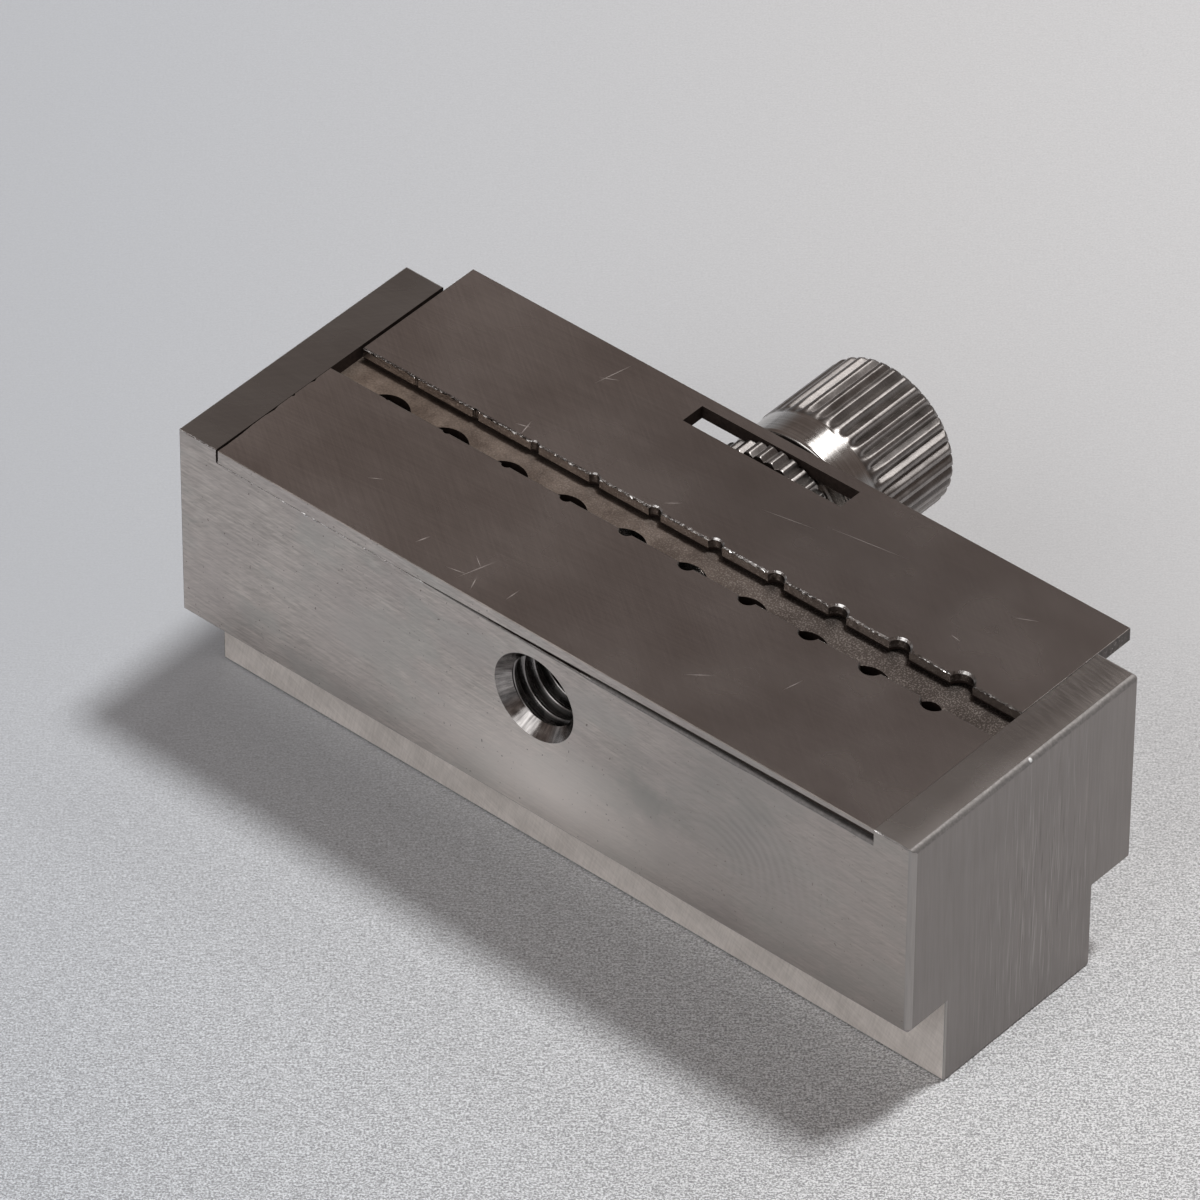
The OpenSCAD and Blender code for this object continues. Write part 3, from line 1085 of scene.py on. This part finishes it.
def make_thumbscrew():
    """Head and collar spun in one from their outline, ribbed, then joined to the threaded shank."""
    c0, c1 = COLLAR
    h0, h1 = HEAD
    rings = [
        (0, c0), (GROOVE_R, c0), (HEAD_R - 0.1, c0), (HEAD_R - 0.03, c0 + 0.03), (HEAD_R, c0 + 0.1),
        (HEAD_R, c1 - 0.1), (HEAD_R - 0.03, c1 - 0.03), (HEAD_R - 0.1, c1),
        (GROOVE_R + 0.1, c1), (GROOVE_R, c1 + 0.1), (GROOVE_R, h0 - 0.1), (GROOVE_R + 0.1, h0),
        (BAND_R - 0.25, h0), (BAND_R - 0.13, h0 + 0.03), (BAND_R - 0.05, h0 + 0.1), (BAND_R, h0 + 0.25),
        (BAND_R, RIB_FRONT - 0.15), (BAND_R + 0.03, RIB_FRONT),
        (HEAD_R, RIB_FRONT + 0.15), (HEAD_R, RIB_FRONT + 0.35), (HEAD_R, RIB_FRONT + 0.6),
        (HEAD_R, 15.0), (HEAD_R, 16.5), (HEAD_R, 18.0), (HEAD_R, h1 - 0.3),
        (HEAD_R - 0.02, h1 - 0.2), (HEAD_R - 0.08, h1 - 0.1), (HEAD_R - 0.18, h1 - 0.03),
        (HEAD_R - 0.3, h1), (2.0, h1), (0, h1),
    ]
    head = draw_line("head", [(SCREW_X + r, y, SCREW_Z) for r, y in rings])
    phases = 12
    turn_round(head, RIB_COUNT * phases)

    # The grooves: all the points as far from a groove's middle are drawn in together
    depths = [0.25, 0.19, 0.125, 0.06, 0.015]
    step = 2 * math.pi / (RIB_COUNT * phases)

    def phase_of(p):
        k = round(math.atan2(p.z - SCREW_Z, p.x - SCREW_X) / step) % phases
        return min(k, phases - k)

    # Each stretch along the screw, and how deep the grooves are there: they run out at the smooth band
    stretches = (
        (c0 - 0.01, c1 + 0.01, 1.0), (RIB_FRONT + 0.1, RIB_FRONT + 0.2, 0.2),
        (RIB_FRONT + 0.3, RIB_FRONT + 0.4, 0.55), (RIB_FRONT + 0.55, RIB_FRONT + 0.65, 0.85),
        (RIB_FRONT + 0.7, h1 + 0.01, 1.0),
    )
    for k, depth in enumerate(depths):
        for low, high, share in stretches:
            root = HEAD_R - depth * share
            for inset in (0, 0.02, 0.03, 0.08, 0.1, 0.18, 0.3):
                ring_r = HEAD_R - inset
                size = root / ring_r
                if size < 1 and pick(
                    head, "VERT",
                    lambda p: low < p.y < high and abs(from_axis(p) - ring_r) < 0.004
                    and phase_of(p) == k,
                ):
                    middle = (SCREW_X, 0, SCREW_Z)
                    bpy.ops.transform.resize(value=(size, 1, size), center_override=middle)
                done()
    combine(head, threaded_rod("shank", TIP_Y, c0 + 0.5, 2.0, 2.45), "UNION")
    tidy_mesh(head)
    return head


def add_body(made):
    body = make_body()
    shade(body)
    # How far the mouth's faces lean towards the front
    lean = (MOUTH_R - DRILL_R) / math.hypot(MOUTH_R - DRILL_R, MOUTH_DEEP)
    mouth_y = -HALF_W + MOUTH_DEEP
    finish_faces(body, made, [
        ("recess", lambda c, n: n.z > 0.9 and abs(c.z - FLOOR) < 0.01),
        ("satin_top", lambda c, n: n.z > 0.99 and c.z > TOP - 0.01),
        ("foot_side", lambda c, n: abs(n.y) > 0.99 and c.z < FOOT_H),
        ("mouth", lambda c, n: from_axis(c) < MOUTH_R and c.y < mouth_y and abs(n.y + lean) < 0.06),
        ("thread_steel", lambda c, n: from_axis(c) < POCKET_R + 0.1 and abs(c.y) < HALF_W - 0.02),
        # Painted shade on the posts' inner walls and in the relief holes
        ("painted_shade_wall", lambda c, n: abs(abs(c.x) - INNER) < 0.01 and abs(n.x) > 0.9),
        ("painted_shade_wall", lambda c, n: abs(n.z) < 0.1 and c.z > FLOOR - RELIEF_DEEP - 0.1
            and abs(c.x) < INNER and abs(c.y) < 2),
        ("ground_front", lambda c, n: abs(n.y) > 0.99 or n.z < -0.9),
        ("ground_end", lambda c, n: abs(n.x) > 0.99),
        # The posts' front tops, then the nicks under the fixed jaw
        ("nick", lambda c, n: c.x < 23.1 and c.y < -HALF_W + 0.1 and c.z > TOP - 0.1),
        ("nick", lambda c, n: c.x < -7 and c.y < -HALF_W + 0.2 and n.z > 0.1
            and FLOOR - 0.25 < c.z < FLOOR),
        # The upright edge between the front and the right end
        ("soft_edge", lambda c, n: n.x > 0.05 and n.y < -0.05 and abs(n.z) < 0.3
            and c.x > HALF_L - 0.4),
        ("worn_edge_and_painted_glint", lambda c, n: True),
    ])
    hand_over(body, "body", "clamp_body")


def add_fixed_jaw(made):
    jaw = make_fixed_jaw()
    shade(jaw)
    finish_faces(jaw, made, [
        ("jaw_top", lambda c, n: n.z > 0.99),
        # Painted shade on the faces that look down and on the left end
        ("painted_shade_wall", lambda c, n: n.z < -0.1),
        ("painted_shade_wall", lambda c, n: n.x < -0.5 and c.x < -22 and c.z < TOP - 0.1),
        ("ground_front", lambda c, n: c.y < -HALF_W + 0.3),
        ("jaw_edge", lambda c, n: True),
    ])
    hand_over(jaw, "fixed_jaw", "clamp_body")


def add_moving_jaw(made):
    jaw = make_moving_jaw()
    shade(jaw)
    x0, x1, y0, y1 = SLOT

    def behind_edge(c):
        return c.y - jaw_front(c.x)

    finish_faces(jaw, made, [
        ("jaw_top", lambda c, n: n.z > 0.99),
        ("burr", lambda c, n: n.z > 0.1 and behind_edge(c) < 1.0),
        # Painted shade on the fallen-back lower front and in the slot
        ("painted_shade_wall", lambda c, n: c.z < UNDERCUT_Z and behind_edge(c) < 0.9),
        ("notch_wall", lambda c, n: 0.02 < behind_edge(c) < 0.9 and abs(c.x) < 21),
        ("facing", lambda c, n: behind_edge(c) < 0.02),
        ("dark_end", lambda c, n: n.x > 0.9 and c.x > 22),
        ("painted_shade_wall", lambda c, n: abs(n.z) < 0.5 and x0 - 0.1 < c.x < x1 + 0.1
            and y0 - 0.2 < c.y < y1 + 0.2),
        ("jaw_edge", lambda c, n: True),
    ])
    hand_over(jaw, "moving_jaw", "sliding_jaw")


def add_thumbscrew(made):
    screw = make_thumbscrew()
    shade(screw, 40)
    finish_faces(screw, made, [
        ("ribs", lambda c, n: not COLLAR[1] + 0.01 <= c.y <= RIB_FRONT + 0.05 and from_axis(c) > 4.1),
        ("turned", lambda c, n: True),
    ])
    hand_over(screw, "thumbscrew", "screw")


def add_pins(made):
    for side, name in ((-1, "left_jaw_pin"), (1, "right_jaw_pin")):
        pin = upright("pin", side * PIN_X, PIN_Y, TOP - PIN_LONG, TOP, PIN_R - 0.002, 32)
        shade(pin)
        finish_faces(pin, made, [("jaw_top", lambda c, n: True)])
        hand_over(pin, name, "clamp_body")


def main():
    made = make_finishes()
    add_body(made)
    add_fixed_jaw(made)
    add_moving_jaw(made)
    add_thumbscrew(made)
    add_pins(made)


def make_camera():
    """The photograph's own viewpoint, worked out from the clamp's corners."""
    data = bpy.data.cameras.new("camera")
    data.lens = 332.33
    data.sensor_width = 36.0
    data.clip_start = 0.02
    data.clip_end = 20.0
    camera = bpy.data.objects.new("camera", data)
    bpy.context.scene.collection.objects.link(camera)
    right = Vector((0.75471831, 0.6560325, 0.00465054))
    up = Vector((-0.43251687, 0.4922246, 0.75540989))
    ahead = Vector((-0.49328433, 0.57213312, -0.65523604))
    turn = Matrix((right, up, -ahead)).transposed().to_4x4()
    where = Vector((281.3786, -330.4881, 390.9756)) * MM
    camera.matrix_world = Matrix.Translation(where) @ turn
    bpy.context.scene.camera = camera


def make_lamp(name, towards, far, size, watts, colour=(1, 1, 1)):
    """A soft lamp that looks at the clamp. towards is the way to it, far how many metres off."""
    at = Vector(towards).normalized() * far
    data = bpy.data.lights.new(name, "AREA")
    data.shape = "RECTANGLE" if isinstance(size, tuple) else "DISK"
    if isinstance(size, tuple):
        data.size, data.size_y = size
    else:
        data.size = size
    data.energy = watts
    data.color = colour
    lamp = bpy.data.objects.new(name, data)
    lamp.location = at
    lamp.rotation_euler = (Vector((0, 0, 0.01)) - at).to_track_quat("-Z", "Y").to_euler()
    bpy.context.scene.collection.objects.link(lamp)


def pale_floor():
    """A pale grey floor: a fine level grain, clearest at the front, and a slow change of tone, brighter
    towards the right and the rear, that paints the fall of the light.
    """
    material = bpy.data.materials.new("pale_floor")
    material.use_nodes = True
    tree = material.node_tree
    shader = tree.nodes["Principled BSDF"]
    shader.inputs["Roughness"].default_value = 0.6
    turned = tree.nodes.new("ShaderNodeMapping")
    turned.vector_type = "POINT"
    turned.inputs["Rotation"].default_value = (0, 0, math.radians(-41))
    tree.links.new(place(tree), turned.inputs["Vector"])
    level = turned.outputs["Vector"]
    at = axes(tree, level)
    grain = pile(tree, "ADD", [
        times(tree, marks(tree, (0.13, 0.11, 0.2), detail=2.0, lumpy=0.7, source=level), 0.75),
        times(tree, marks(tree, (0.7, 0.12, 0.2), detail=2.0, lumpy=0.6, source=level), 0.25),
    ])
    front = spread(tree, at["Y"], 15 * MM, -32 * MM, 0.06, 1.0)
    right = spread(tree, at["X"], -40 * MM, 30 * MM, 0.45, 1.0)
    grain = sums(tree, "SUBTRACT", grain, 0.5)
    grain = times(tree, grain, times(tree, front, right))
    # Painted fall of light: the floor grows brighter towards the right and the rear
    slow = plus(tree, times(tree, at["X"], 2.2), times(tree, at["Y"], 0.9))
    tone = plus(tree, spread(tree, grain, -0.055, 0.055, 0.0, 1.0), slow)
    pale = blend(tree, tone, (0.30, 0.30, 0.305), (0.88, 0.88, 0.885))
    cool = blend(tree, tone, (0.29, 0.30, 0.32), (0.83, 0.865, 0.91))
    left = spread(tree, at["X"], 15 * MM, -30 * MM, 0.15, 1.0)
    tree.links.new(blend(tree, left, pale, cool), shader.inputs["Base Color"])
    relief(tree, shader, grain, 0.02)
    return material


def make_stage():
    bpy.ops.object.select_all(action="DESELECT")
    bpy.ops.mesh.primitive_plane_add(size=6, location=(0, 0, -0.00002))
    floor = named("floor")
    floor.data.materials.append(pale_floor())

    make_lamp("key", (0.10, 0.25, 0.82), 0.863, 0.14, 4.6)
    make_lamp("front", (-0.054, -0.778, 0.621), 1.0, 0.8, 2.9, (0.97, 0.985, 1.0))
    make_lamp("back", (0.0, 0.593, 0.805), 0.8, (0.34, 0.12), 0.4)

    world = bpy.data.worlds.new("world")
    bpy.context.scene.world = world
    world.use_nodes = True
    tree = world.node_tree
    sky = tree.nodes["Background"]
    coordinates = tree.nodes.new("ShaderNodeTexCoord")
    height = axes(tree, coordinates.outputs["Generated"])["Z"]
    share = spread(tree, height, 0.05, 0.45, 0, 1, smooth=True)
    tree.links.new(blend(tree, share, (0.33, 0.33, 0.34), (0.15, 0.122, 0.11)), sky.inputs["Color"])
    sky.inputs["Strength"].default_value = 1.0

    bpy.context.scene.view_settings.view_transform = "Standard"


make_camera()
make_stage()
main()
